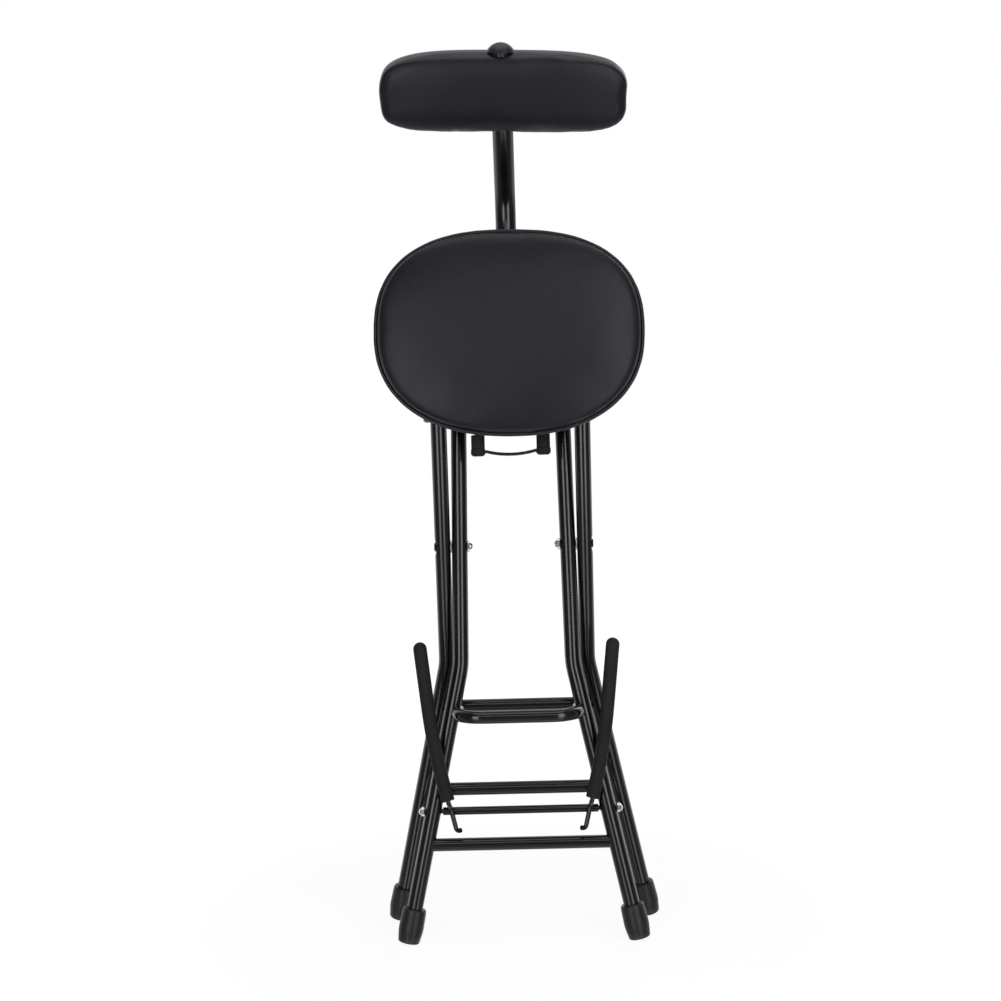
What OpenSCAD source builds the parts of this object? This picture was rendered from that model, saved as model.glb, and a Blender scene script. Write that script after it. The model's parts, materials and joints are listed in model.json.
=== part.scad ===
// Folding guitar stool, shown folded and standing on its four feet.
// X runs across the stool, the front is towards -Y and +Z is up. Sizes in millimetres.

/* [Frames] */
// Outside diameter of the leg tubes
leg_d = 20; // [18:0.5:22]
// Outside diameter of the two top bars
top_bar_d = 22; // [21:0.5:24]
// Outside diameter of the thin cross tubes and the footrest
cross_d = 16; // [12:0.5:17]
// Wall of every steel tube
tube_wall = 1.6; // [1:0.1:2.2]
// Distance along a frame from the pivot to the centre of its top bar
top_len = 168; // [155:1:185]
// Distance along a frame from the pivot to the splay bend
bend_drop = 150; // [130:1:165]
// Length of the splayed part of a leg, from the bend to the floor
lower_len = 347; // [335:1:370]
// Radius of the splay bend
splay_r = 90; // [60:5:120]
// Angle of the splayed legs from upright, seen from the front
splay = 12.2; // [10:0.1:14]
// Angle by which the inner frame draws together towards its top
leg_toe = 0.8; // [0:0.1:1.2]
// Half the distance between the inner legs at the pivot
inner_half_w = 68; // [64:0.5:72]
// Gap between an inner and an outer leg at the pivot
pivot_gap = 1.5; // [1.3:0.1:2.4]
// How far a top bar passes the outside of its legs
bar_overhang = 5; // [3:0.5:8]
// Distance from the pivot down to the upper inner cross tube
upper_cross_drop = 302.5; // [295:0.5:308]
// Distance from the pivot down to the lower inner cross tube
lower_cross_drop = 371; // [365:1:385]
// Distance from the pivot down to the outer cross tube
outer_cross_drop = 207; // [190:1:250]

/* [Folding] */
// Lean of each frame from upright when folded
fold_lean = 5.7; // [5:0.1:7]
// Lean of each frame from upright in use
use_lean = 26; // [25:0.5:27]
// Diameter of the pivot bolts
pivot_bolt_d = 8; // [6:0.5:9]
// Depth of the crimp in each leg at the pivot
crimp_depth = 2.4; // [1:0.1:3]
// Radial running clearance of a shaft in its hole
running_gap = 0.05; // [0.03:0.01:0.09]
// Gap between parts that pass each other
side_gap = 0.3; // [0.2:0.05:0.4]

/* [Feet] */
// Largest diameter of a foot
foot_d = 31; // [29:0.5:33]
// Diameter of a foot at its mouth
foot_mouth_d = 29; // [26:0.5:30]
// Height of a foot along its leg
foot_h = 42; // [36:1:48]
// Thickness of rubber under the end of the leg tube
foot_sole = 12; // [8:0.5:16]

/* [Footrest] */
// Distance from the pivot down to the footrest
footrest_drop = 206.5; // [195:0.5:225]
// How far the footrest stands in front of the inner legs
footrest_reach = 44; // [38:1:56]
// Bend radius of the footrest
footrest_r = 30; // [24:1:32]
// Distance of the footrest's arms inside the middle lines of the inner legs
footrest_inset = 8; // [4:0.5:9]
// Angle by which the footrest dips towards its front, from square to the legs
footrest_dip = 5.5; // [0:0.5:8]

/* [Backrest] */
// Outside diameter of the backrest post
post_d = 28; // [25:0.5:30]
// Wall of the post socket
socket_wall = 2.5; // [2:0.1:3]
// Length of the post socket, from the centre of the top bar
socket_len = 54; // [46:1:56]
// Level run of the post behind the inner top bar, to the corner of its lower bend
post_base = 93; // [88:1:100]
// Length of the post between the corners of its two bends
post_rise = 243.5; // [235:0.5:255]
// Length of the post above the corner of its upper bend
post_top = 207; // [198:1:215]
// Angle of the lower bend
post_bend_low = 64.7; // [60:0.5:68]
// Angle of the upper bend
post_bend_high = 35; // [28:0.5:38]
// Radius of the lower bend
post_low_r = 50; // [44:1:56]
// Radius of the upper bend
post_high_r = 90; // [60:5:120]
// Width of the back pad
back_w = 316; // [290:1:330]
// Height of the back pad
back_h = 103; // [96:1:110]
// Thickness of the back pad
back_t = 50; // [47:0.5:56]
// Distance of the back pad's top side below the end of the post
back_drop = 1; // [0.5:0.1:3]
// Height of the domed cap over the post
cap_h = 9.5; // [8:0.5:14]
// Diameter of the domed cap
cap_d = 34; // [32.5:0.5:37]
// Wall of the sleeve inside the back pad
sleeve_wall = 2; // [1.5:0.1:2.2]
// Thickness of the steel plate inside the back pad
plate_t = 3; // [2:0.25:4]
// Width of the steel plate inside the back pad
plate_w = 220; // [160:5:250]
// Height of the steel plate inside the back pad
plate_h = 60; // [50:1:64]

/* [Seat] */
// Width of the seat
seat_w = 329; // [310:1:350]
// Depth of the seat, from its front edge to its rear edge
seat_d = 252; // [240:1:260]
// Squareness of the rear half of the seat's outline, where 2 is an ellipse
seat_rear_power = 2.5; // [2.1:0.05:2.8]
// Squareness of the front half of the seat's outline
seat_front_power = 2.3; // [2.1:0.05:2.8]
// Thickness of the seat cushion
seat_pad_t = 34; // [28:0.5:40]
// Thickness of the seat board
board_t = 12; // [9:0.5:15]
// Inset of the seat board from the cushion's outline
board_inset = 7; // [5:0.5:10]
// Distance of the seat's front edge from the centre of the outer top bar
seat_front = 34; // [30:1:38]
// Height of the seat board over the centre of the outer top bar
bracket_h = 22; // [20:0.5:25]
// Lean of the folded seat towards the rear
seat_lean = 4; // [2:0.5:5]
// Diameter of the piping cord around the seat cushion
piping_d = 5; // [4:0.25:5.5]
// Thickness of the seat brackets
bracket_t = 4; // [3:0.5:5]
// Distance of a seat bracket from the middle of the stool
bracket_x = 40; // [34:1:44]
// Radial clearance of the bracket's rear hook around the inner top bar
hook_gap = 0.8; // [0.6:0.1:1]

/* [Neck yoke] */
// Diameter of the steel rod of the neck yoke
yoke_rod_d = 8; // [6:0.5:9]
// Diameter of the padded sleeves on the yoke's prongs
yoke_sleeve_d = 18; // [15:0.5:20]
// Distance between the centres of the two prongs
yoke_w = 80.5; // [76:0.5:86]
// How far the prongs reach past the seat's front edge
yoke_reach = 21; // [18:1:28]
// Diameter of the elastic strap between the prongs
strap_d = 4; // [3:0.25:5]

/* [Cradle] */
// Distance from the pivot down to the cradle rod
rod_drop = 329.6; // [328:0.2:332]
// Diameter of the cradle rod
rod_d = 10; // [8:0.5:11]
// Diameter of the studs at the ends of the cradle rod
stud_d = 6; // [5:0.5:7]
// Diameter of the cradle arms' steel cores
arm_d = 6; // [5:0.5:7]
// Diameter of the padded sleeves on the arms
arm_sleeve_d = 17; // [15:0.5:18]
// Distance of an arm from the middle at the rod
arm_x = 85.5; // [82:0.5:88]
// Height of an arm's tip above the rod
arm_h = 211.5; // [195:0.5:225]
// Outward lean of an arm near the rod
arm_low_lean = 13.5; // [12:0.5:15]
// Outward lean of an arm above its bow
arm_top_lean = 6.5; // [5:0.5:8]
// Distance of the arms in front of the rod's centre
arm_front = 20.5; // [20:0.25:23]
// Length of an arm's tail below the rod
tail_len = 24; // [18:1:26]

/* [Hidden] */
$fn = 48;

// Radii
leg_r = leg_d / 2;
top_bar_r = top_bar_d / 2;
cross_r = cross_d / 2;
post_r = post_d / 2;
// Height by which the soles are trimmed flat to the floor
foot_rise = 2;
// Overshoot of cuts past the solids that they cut
over = 1;

// The pivot's height puts the soles of the folded frame on the floor
inner_drop = bend_drop + lower_len * cos(splay);
pivot_z = inner_drop * cos(fold_lean) + foot_rise;
outer_lower_len = (inner_drop - bend_drop) / cos(splay);
outer_half_w = inner_half_w + leg_d + pivot_gap;
inner_top_half = inner_half_w - top_len * tan(leg_toe);
inner_bend_half = inner_half_w + bend_drop * tan(leg_toe);

// The part is centred front to back between the cushion's crown and the post's upper bend
front_reach = top_len * sin(fold_lean) + (bracket_h + board_t + seat_pad_t) * cos(seat_lean);
seat_low_front = front_reach - (seat_d / 2 - seat_front) * sin(seat_lean);
post_low_tan = post_low_r * tan(post_bend_low / 2);
post_high_tan = post_high_r * tan(post_bend_high / 2);
base_angle = use_lean - fold_lean;
rise_angle = base_angle + post_bend_low;
corner_y = top_len * sin(fold_lean) + post_base * cos(base_angle);
bend_in_y = corner_y + (post_rise - post_high_tan) * cos(rise_angle);
rear_reach = bend_in_y - post_high_r * sin(rise_angle) + post_high_r + post_r;
centre_y = (seat_low_front - rear_reach) / 2;

function inner_x(drop) = inner_bend_half + (drop - bend_drop) * tan(splay);
function outer_x(drop) = outer_half_w + (drop - bend_drop) * tan(splay);

// Placing modules: each frame, the seat, the post and the cradle in their own frames
module placed() {
    translate([0, centre_y, pivot_z])
        children();
}
module in_inner() {
    placed()
        rotate([-fold_lean, 0, 0])
            children();
}
module in_outer() {
    placed()
        rotate([fold_lean, 0, 0])
            children();
}
module in_seat() {
    in_outer()
        translate([0, 0, top_len])
            rotate([-fold_lean - seat_lean, 0, 0])
                children();
}
module in_cradle() {
    in_inner()
        translate([0, 0, -rod_drop])
            children();
}
module on_right() {
    children();
}
module on_left() {
    mirror([1, 0, 0])
        children();
}
module both_sides() {
    on_right()
        children();
    on_left()
        children();
}
module along_x(x0, x1, r) {
    translate([x0, 0, 0])
        rotate([0, 90, 0])
            cylinder(h = x1 - x0, r = r);
}

// A round bar along a path of steps: [straight length, bend angle, bend radius, heading].
// Each bend is a hair slimmer than its straights and runs a little way into both of them
bend_slim = 0.06;
bend_lap = 0.4;
module run(steps, r, i = 0) {
    if (i < len(steps)) {
        length = steps[i][0];
        angle = steps[i][1];
        bend_r = steps[i][2];
        heading = steps[i][3];
        cylinder(h = length, r = r);
        if (angle > 0) {
            lap_angle = bend_lap / bend_r * 180 / PI;
            translate([0, 0, length])
                rotate([0, 0, heading])
                    translate([bend_r, 0, 0]) {
                        rotate([90, lap_angle, 180])
                            rotate_extrude(angle = angle + 2 * lap_angle)
                                translate([bend_r, 0])
                                    circle(r - bend_slim);
                        rotate([0, angle, 0])
                            translate([-bend_r, 0, 0])
                                rotate([0, 0, -heading])
                                    run(steps, r, i + 1);
                    }
        }
    }
}

// Legs
splay_in = splay - leg_toe;
inner_tan = splay_r * tan(splay_in / 2);
outer_tan = splay_r * tan(splay / 2);
crimp_half = 16;
crimp_r = 26;
inner_above = top_len / cos(leg_toe);
inner_straight = bend_drop / cos(leg_toe);

// The right inner leg with its full outline, from the top bar's centre to the foot's sole
module inner_leg_path(r, cut_end) {
    translate([inner_half_w, 0, 0])
        rotate([0, 180 - leg_toe, 0])
            translate([0, 0, -inner_above])
                run([[inner_above + inner_straight - inner_tan, splay_in, splay_r, 180],
                     [lower_len - inner_tan - cut_end, 0, 0, 0]], r);
}
module outer_leg_path(r, cut_end) {
    translate([outer_half_w, 0, top_len])
        rotate([180, 0, 0])
            run([[top_len + bend_drop - outer_tan, splay, splay_r, 0],
                 [outer_lower_len - outer_tan - cut_end, 0, 0, 0]], r);
}
// Solid stretch of a leg at the pivot, where the tube is crimped
module crimp_block(x) {
    translate([x - leg_d, -leg_d, -crimp_half])
        cube([2 * leg_d, 2 * leg_d, 2 * crimp_half]);
}
module crimp_cut(x) {
    translate([x + leg_r - crimp_depth + crimp_r, leg_d, 0])
        rotate([90, 0, 0])
            cylinder(h = 2 * leg_d, r = crimp_r);
}
module inner_leg() {
    in_inner()
        difference() {
            inner_leg_path(leg_r, foot_sole);
            difference() {
                inner_leg_path(leg_r - tube_wall, foot_sole - over);
                crimp_block(inner_half_w);
            }
            translate([0, 0, top_len])
                along_x(0, 2 * outer_half_w, top_bar_r);
            along_x(0, 2 * outer_half_w, pivot_bolt_d / 2 + running_gap);
            translate([0, 0, -rod_drop])
                along_x(0, 2 * outer_half_w, stud_d / 2 + running_gap);
        }
}
module outer_leg() {
    in_outer()
        difference() {
            outer_leg_path(leg_r, foot_sole);
            difference() {
                outer_leg_path(leg_r - tube_wall, foot_sole - over);
                crimp_block(outer_half_w);
            }
            translate([0, 0, top_len])
                along_x(0, 2 * outer_half_w, top_bar_r);
            along_x(0, 2 * outer_half_w, pivot_bolt_d / 2 + running_gap);
            crimp_cut(outer_half_w);
            along_x(head_seat_x - side_gap, 2 * outer_half_w, bolt_head_r + side_gap);
        }
}
module inner_left_leg() {
    color("#1b1b1d")
        on_left()
            inner_leg();
}
module inner_right_leg() {
    color("#1b1b1d")
        on_right()
            inner_leg();
}
module outer_left_leg() {
    color("#202022")
        on_left()
            outer_leg();
}
module outer_right_leg() {
    color("#202022")
        on_right()
            outer_leg();
}

// Top bars and cross tubes
inner_bar_half = inner_top_half + leg_r + bar_overhang;
outer_bar_half = outer_half_w + leg_r + bar_overhang;
bar_bore_r = top_bar_r - tube_wall;

module inner_top_bar() {
    color("#1b1b1d")
        in_inner()
            translate([0, 0, top_len])
                difference() {
                    along_x(-inner_bar_half, inner_bar_half, top_bar_r);
                    along_x(-inner_bar_half - over, inner_bar_half + over, bar_bore_r);
                }
}
module outer_top_bar() {
    color("#202022")
        in_outer()
            translate([0, 0, top_len])
                difference() {
                    along_x(-outer_bar_half, outer_bar_half, top_bar_r);
                    along_x(-outer_bar_half - over, outer_bar_half + over, bar_bore_r);
                }
}
// A plug that closes the right-hand end of a top bar
plug_neck = 12;
plug_head = 3;
plug_taper = 2;
module bar_plug(half) {
    translate([half, 0, 0]) {
        translate([-plug_neck, 0, 0])
            along_x(0, plug_neck, bar_bore_r);
        rotate([0, 90, 0])
            cylinder(h = plug_head, r1 = top_bar_r, r2 = top_bar_r - plug_taper);
    }
}
module inner_bar_plugs() {
    color("#111112")
        in_inner()
            translate([0, 0, top_len])
                both_sides()
                    bar_plug(inner_bar_half);
}
module outer_bar_plugs() {
    color("#111112")
        in_outer()
            translate([0, 0, top_len])
                both_sides()
                    bar_plug(outer_bar_half);
}
module inner_crossbar(drop) {
    half = inner_x(drop);
    in_inner()
        difference() {
            translate([0, 0, -drop])
                along_x(-half, half, cross_r);
            translate([0, 0, -drop])
                along_x(-half - over, half + over, cross_r - tube_wall);
            both_sides()
                inner_leg_path(leg_r, 0);
        }
}
module inner_upper_crossbar() {
    color("#1b1b1d")
        inner_crossbar(upper_cross_drop);
}
module inner_lower_crossbar() {
    color("#1b1b1d")
        inner_crossbar(lower_cross_drop);
}
module outer_crossbar() {
    half = outer_x(outer_cross_drop);
    color("#202022")
        in_outer()
            difference() {
                translate([0, 0, -outer_cross_drop])
                    along_x(-half, half, cross_r);
                translate([0, 0, -outer_cross_drop])
                    along_x(-half - over, half + over, cross_r - tube_wall);
                both_sides()
                    outer_leg_path(leg_r, 0);
            }
}

// The footrest is a shallow U whose ends are coped to the inner sides of the inner legs
footrest_half = inner_x(footrest_drop) - footrest_inset;
module footrest_path(r) {
    straight_in = footrest_reach - footrest_r;
    translate([-footrest_half, 0, 0])
        rotate([90, 0, 0])
            run([[straight_in, 90, footrest_r, 0],
                 [2 * footrest_half - 2 * footrest_r, 90, footrest_r, 0],
                 [straight_in, 0, 0, 0]], r);
}
module footrest_bar() {
    color("#1b1b1d")
        in_inner()
            difference() {
                translate([0, 0, -footrest_drop])
                    rotate([footrest_dip, 0, 0])
                        footrest_path(cross_r);
                translate([0, 0, -footrest_drop])
                    rotate([footrest_dip, 0, 0])
                        footrest_path(cross_r - tube_wall);
                both_sides()
                    inner_leg_path(leg_r, 0);
            }
}

// Feet: turned barrels on the ends of the legs, cut flat where they stand.
// The sides are [inset from the radius, height], first from the sole and then from the mouth
foot_low_side = [[3.2, 0], [2.3, 0.7], [1.8, 3], [0.2, 14], [0, 18]];
foot_mouth_side = [[-0.5, -7], [0, -1.5], [1.2, 0]];
module foot() {
    difference() {
        rotate_extrude()
            polygon(concat([[0, 0]],
                           [for (s = foot_low_side) [foot_d / 2 - s[0], s[1]]],
                           [for (s = foot_mouth_side) [foot_mouth_d / 2 - s[0], foot_h + s[1]]],
                           [[0, foot_h]]));
        translate([0, 0, foot_sole])
            cylinder(h = foot_h, r = leg_r);
    }
}
module below_floor() {
    reach = 4 * outer_half_w;
    translate([-reach, -reach, -reach])
        cube([2 * reach, 2 * reach, reach]);
}
inner_foot_x = inner_x(inner_drop);
outer_foot_x = outer_x(inner_drop);
module inner_feet() {
    color("#161617")
        difference() {
            in_inner()
                both_sides()
                    translate([inner_foot_x, 0, -inner_drop])
                        rotate([0, -splay, 0])
                            foot();
            below_floor();
        }
}
module outer_feet() {
    color("#161617")
        difference() {
            in_outer()
                both_sides()
                    translate([outer_foot_x, 0, -inner_drop])
                        rotate([0, -splay, 0])
                            foot();
            below_floor();
        }
}

// Pivot bolts, their nuts and the washers between the legs
bolt_r = pivot_bolt_d / 2;
bolt_head_r = bolt_r + 3.2;
bolt_head_h = 3;
head_taper = 2;
// Depth of the seat for the bolt head below the bottom of the crimp
head_recess = 0.4;
head_seat_x = outer_half_w + leg_r - crimp_depth - head_recess + side_gap;
nut_face_x = inner_half_w - leg_r;
nut_af = 1.6 * pivot_bolt_d;
nut_h = 0.4 * pivot_bolt_d;
nut_dome_h = 0.55 * pivot_bolt_d;
washer_t = pivot_gap - 2 * side_gap;
washer_rim = 4;

module pivot_bolts() {
    color("#c9c9cc")
        in_inner()
            both_sides() {
                along_x(nut_face_x - nut_h, head_seat_x, bolt_r);
                translate([head_seat_x, 0, 0])
                    rotate([0, 90, 0])
                        cylinder(h = bolt_head_h, r1 = bolt_head_r, r2 = bolt_head_r - head_taper);
            }
}
// A domed nut with its flat face at the origin, pointing along -X
module domed_nut(af, h, dome_h, hole_r) {
    hex_r = af / 2 / cos(30);
    base_r = 0.46 * af;
    dome_r = (base_r * base_r + dome_h * dome_h) / (2 * dome_h);
    rotate([0, -90, 0])
        difference() {
            union() {
                cylinder(h = h, r = hex_r, $fn = 6);
                translate([0, 0, h])
                    intersection() {
                        translate([0, 0, dome_h - dome_r])
                            sphere(dome_r);
                        cylinder(h = dome_h, r = af / 2);
                    }
            }
            translate([0, 0, -over])
                cylinder(h = h + over, r = hole_r);
        }
}
module pivot_nuts() {
    color("#e4e4e6")
        in_inner()
            both_sides()
                translate([nut_face_x, 0, 0])
                    domed_nut(nut_af, nut_h, nut_dome_h, bolt_r);
}
module pivot_washers() {
    color("#c9c9cc")
        in_inner()
            both_sides()
                translate([inner_half_w + leg_r + side_gap, 0, 0])
                    rotate([0, 90, 0])
                        difference() {
                            cylinder(h = washer_t, r = bolt_r + washer_rim);
                            translate([0, 0, -over])
                                cylinder(h = washer_t + 2 * over, r = bolt_r);
                        }
}

// Backrest post, in a frame whose +Z is the post's level run to the rear
module in_post() {
    in_inner()
        translate([0, 0, top_len])
            rotate([use_lean - 90, 0, 0])
                children();
}
post_high_run = post_top - post_high_tan;
module post_path(r, trim_end) {
    run([[post_base - post_low_tan, post_bend_low, post_low_r, -90],
         [post_rise - post_low_tan - post_high_tan, post_bend_high, post_high_r, -90],
         [post_high_run - trim_end, 0, 0, 0]], r);
}
// Places children at the end of the post, with +Z along the post and -Y to the front
module at_post_end() {
    in_inner()
        translate([0, 0, top_len])
            rotate([use_lean - 90, 0, 0])
                translate([0, 0, post_base])
                    rotate([post_bend_low, 0, 0])
                        translate([0, 0, post_rise])
                            rotate([post_bend_high, 0, 0])
                                translate([0, 0, post_top])
                                    children();
}
post_start = top_bar_r + 2;
socket_bolt_z = socket_len - 12;
socket_bolt_r = 3;
socket_bolt_head_r = 6;
socket_bolt_head_h = 3.5;
socket_bolt_taper = 1.5;
socket_nut_r = 5.8;
socket_nut_h = 5;
module backrest_post() {
    color("#1b1b1d")
        difference() {
            in_post()
                post_path(post_r, 0);
            in_post()
                post_path(post_r - tube_wall, -over);
            in_post()
                translate([0, 0, -post_d])
                    cylinder(h = post_d + post_start, r = post_d);
            in_post()
                translate([0, 0, socket_bolt_z])
                    along_x(-post_d, post_d, socket_bolt_r);
        }
}
socket_r = post_r + socket_wall;
module post_socket() {
    color("#1b1b1d")
        in_inner()
            difference() {
                translate([0, 0, top_len])
                    rotate([use_lean - 90, 0, 0])
                        difference() {
                            cylinder(h = socket_len, r = socket_r);
                            translate([0, 0, post_start])
                                cylinder(h = socket_len, r = post_r);
                            translate([0, 0, -over])
                                cylinder(h = socket_len, r = post_r - tube_wall - over);
                            translate([0, 0, socket_bolt_z])
                                along_x(-post_d, post_d, socket_bolt_r);
                        }
                translate([0, 0, top_len])
                    along_x(-inner_bar_half, inner_bar_half, top_bar_r);
            }
}
module post_bolt() {
    color("#c9c9cc")
        in_post()
            translate([0, 0, socket_bolt_z]) {
                along_x(-socket_r, socket_r, socket_bolt_r);
                translate([socket_r, 0, 0])
                    rotate([0, 90, 0])
                        cylinder(h = socket_bolt_head_h, r1 = socket_bolt_head_r,
                                 r2 = socket_bolt_head_r - socket_bolt_taper);
                translate([-socket_r, 0, 0])
                    rotate([0, -90, 0])
                        cylinder(h = socket_nut_h, r = socket_nut_r, $fn = 6);
            }
}
module post_cap() {
    dome_r = (cap_d * cap_d / 4 + cap_h * cap_h) / (2 * cap_h);
    color("#121213")
        at_post_end() {
            intersection() {
                translate([0, 0, cap_h - dome_r])
                    sphere(dome_r);
                cylinder(h = cap_h, r = cap_d / 2);
            }
            translate([0, 0, -plug_neck])
                cylinder(h = plug_neck, r = post_r - tube_wall);
        }
}
sleeve_r = post_r + sleeve_wall;
pad_bottom = -back_drop - back_h;
sleeve_margin = 6;
module back_sleeve() {
    color("#8a8a8e")
        at_post_end()
            translate([0, 0, pad_bottom + sleeve_margin])
                difference() {
                    cylinder(h = back_h - 2 * sleeve_margin, r = sleeve_r);
                    translate([0, 0, -over])
                        cylinder(h = back_h, r = post_r);
                }
}
module plate_block(extra) {
    translate([-plate_w / 2 - extra, -sleeve_r - plate_t - extra, -plate_h / 2 - extra])
        cube([plate_w + 2 * extra, plate_t + 2 * extra, plate_h + 2 * extra]);
}
pad_mid = -back_drop - back_h / 2;
module back_plate() {
    color("#8a8a8e")
        at_post_end()
            translate([0, 0, pad_mid])
                plate_block(0);
}

// Cushions: rings of a squared oval, drawn in at the back and crowned over the front
// The powers are the squareness of the upper and of the lower half
function oval_point(a, w, d, powers) =
    let (q = 2 / (sin(a) > 0 ? powers[0] : powers[1]))
    [w / 2 * sign(cos(a)) * pow(abs(cos(a)), q), d / 2 * sign(sin(a)) * pow(abs(sin(a)), q)];
module oval(w, d, powers, n) {
    polygon([for (i = [0 : n - 1]) oval_point(360 * i / n, w, d, powers)]);
}
// Profile entries are [inset from the outline, height], from the back to the middle of the front
module cushion(w, d, powers, profile, n) {
    rings = len(profile);
    points = [for (k = [0 : rings - 1])
        for (i = [0 : n - 1])
            concat(oval_point(360 * i / n, w - 2 * profile[k][0], d - 2 * profile[k][0], powers),
                   profile[k][1])];
    walls = [for (k = [0 : rings - 2])
        for (i = [0 : n - 1])
            each [[k * n + i, k * n + n + i, k * n + (i + 1) % n],
                  [k * n + (i + 1) % n, k * n + n + i, k * n + n + (i + 1) % n]]];
    back = [[for (i = [0 : n - 1]) i]];
    front = [[for (i = [0 : n - 1]) (rings - 1) * n + n - 1 - i]];
    polyhedron(points = points, faces = concat(back, walls, front));
}
// A cord laid round the outline of a cushion
module piping(w, d, powers, r, n, sides) {
    points = [for (i = [0 : n - 1])
        let (here = oval_point(360 * i / n, w, d, powers),
             next = oval_point(360 * (i + 1) / n, w, d, powers),
             last = oval_point(360 * (i - 1) / n, w, d, powers),
             along = next - last,
             out = [along[1], -along[0]] / norm(along))
        for (j = [0 : sides - 1])
            [here[0] + out[0] * r * cos(360 * j / sides),
             here[1] + out[1] * r * cos(360 * j / sides),
             r * sin(360 * j / sides)]];
    faces = [for (i = [0 : n - 1])
        for (j = [0 : sides - 1])
            let (a = i * sides + j,
                 b = i * sides + (j + 1) % sides,
                 c = ((i + 1) % n) * sides + j,
                 e = ((i + 1) % n) * sides + (j + 1) % sides)
            each [[a, b, c], [b, e, c]]];
    polyhedron(points = points, faces = faces);
}
// Stands children on the back of a cushion, so that their +Z points to the front
module facing_front(back_y) {
    translate([0, back_y, 0])
        rotate([90, 0, 0])
            children();
}

// The back pad wraps its sleeve and plate
back_powers = [3.4, 4.4];
back_profile = [
    [17, 0], [7, 1], [2, 4], [0.4, 10], [0, back_t * 0.5], [0.6, back_t - 12],
    [2.6, back_t - 6.5], [7, back_t - 3], [15, back_t - 1.2], [30, back_t]
];
module back_pad() {
    color("#232427")
        at_post_end()
            difference() {
                translate([0, 0, pad_mid])
                    facing_front(back_t / 2)
                        cushion(back_w, back_h, back_powers, back_profile, 44);
                translate([0, 0, pad_bottom - over])
                    cylinder(h = back_h + 2 * over, r = sleeve_r + side_gap);
                translate([0, 0, pad_mid])
                    plate_block(side_gap);
            }
}

// Seat: board, cushion with a groove for its piping, and piping
seat_mid = seat_d / 2 - seat_front;
seat_powers = [seat_rear_power, seat_front_power];
pipe_h = 13;
pipe_groove = piping_d / 2 + side_gap;
seat_profile = [
    [board_inset - 1, 0], [5, 2], [4.4, 6], [4.8, pipe_h - pipe_groove],
    [piping_d + 0.6, pipe_h - 1], [piping_d + 0.6, pipe_h + 1], [4.6, pipe_h + pipe_groove],
    [5.8, pipe_h + 6.5], [9, seat_pad_t - 10.5], [15, seat_pad_t - 6.5],
    [25, seat_pad_t - 3.6], [40, seat_pad_t - 1.7], [62, seat_pad_t - 0.5], [88, seat_pad_t]
];
module seat_board() {
    color("#3a2f25")
        in_seat()
            translate([0, 0, seat_mid])
                facing_front(-bracket_h)
                    linear_extrude(board_t)
                        oval(seat_w - 2 * board_inset, seat_d - 2 * board_inset, seat_powers, 64);
}
module seat_pad() {
    color("#232427")
        in_seat()
            translate([0, 0, seat_mid])
                facing_front(-bracket_h - board_t)
                    cushion(seat_w, seat_d, seat_powers, seat_profile, 56);
}
module seat_piping() {
    pipe_w = seat_w - piping_d;
    pipe_d = seat_d - piping_d;
    color("#2a2b2e")
        in_seat()
            translate([0, 0, seat_mid])
                facing_front(-bracket_h - board_t)
                    translate([0, 0, pipe_h])
                        piping(pipe_w, pipe_d, seat_powers, piping_d / 2, 56, 6);
}

// Seat brackets: an eye on the outer top bar and a hook that drops over the inner top bar
hook_z = 2 * top_len * sin(use_lean);
eye_wall = 5;
hook_r = top_bar_r + hook_gap;
hook_tilt = atan(2 * top_len * cos(use_lean) * (use_lean - fold_lean) / (hook_z * (90 - seat_lean)));
flange_w = 22;
flange_t = 3;
// The bracket seen from the side, with the seat's length along X and the board towards +Y
module bracket_outline() {
    difference() {
        union() {
            circle(top_bar_r + eye_wall);
            translate([hook_z, 0])
                circle(hook_r + eye_wall);
            translate([-top_bar_r - eye_wall, 0])
                square([top_bar_r + eye_wall, bracket_h]);
            translate([0, 4])
                square([hook_z, bracket_h - 4]);
            translate([hook_z, 0])
                square([hook_r + eye_wall, bracket_h]);
        }
        circle(top_bar_r + running_gap);
        translate([hook_z, 0])
            circle(hook_r);
        translate([hook_z, 0])
            rotate(-hook_tilt)
                translate([-hook_r, -4 * top_bar_r])
                    square([2 * hook_r, 4 * top_bar_r]);
    }
}
module seat_bracket() {
    in_seat() {
        translate([bracket_x, 0, 0])
            rotate([0, -90, 180])
                linear_extrude(bracket_t)
                    bracket_outline();
        translate([bracket_x, -bracket_h, -top_bar_r - eye_wall])
            cube([flange_w, flange_t, hook_z + hook_r + top_bar_r + 2 * eye_wall]);
    }
}
module seat_left_bracket() {
    color("#1b1b1d")
        on_left()
            seat_bracket();
}
module seat_right_bracket() {
    color("#1b1b1d")
        on_right()
            seat_bracket();
}
screw_x = bracket_x + bracket_t + (flange_w - bracket_t) / 2;
screw_head_r = 5;
screw_tip_r = 3;
screw_h = 2.6;
module seat_screws() {
    color("#c9c9cc")
        in_seat()
            both_sides()
                for (z = [0, hook_z * 0.45, hook_z])
                    translate([screw_x, -bracket_h + flange_t, z])
                        rotate([-90, 0, 0])
                            cylinder(h = screw_h, r1 = screw_head_r, r2 = screw_tip_r);
}

// Neck yoke: a bent rod on a plate under the seat's front edge, with a padded sleeve on each prong
yoke_r = yoke_rod_d / 2;
yoke_sleeve_r = yoke_sleeve_d / 2;
yoke_bend_r = 12;
yoke_back_z = -seat_front + 17;
yoke_tip_z = -seat_front - yoke_reach;
yoke_drop = yoke_sleeve_r + side_gap;
yoke_sleeve_len = yoke_reach + 5;
yoke_plate_t = yoke_drop - yoke_r + 0.6;
yoke_plate_w = 46;
yoke_plate_h = 12;
yoke_cap_wall = 4;
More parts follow.
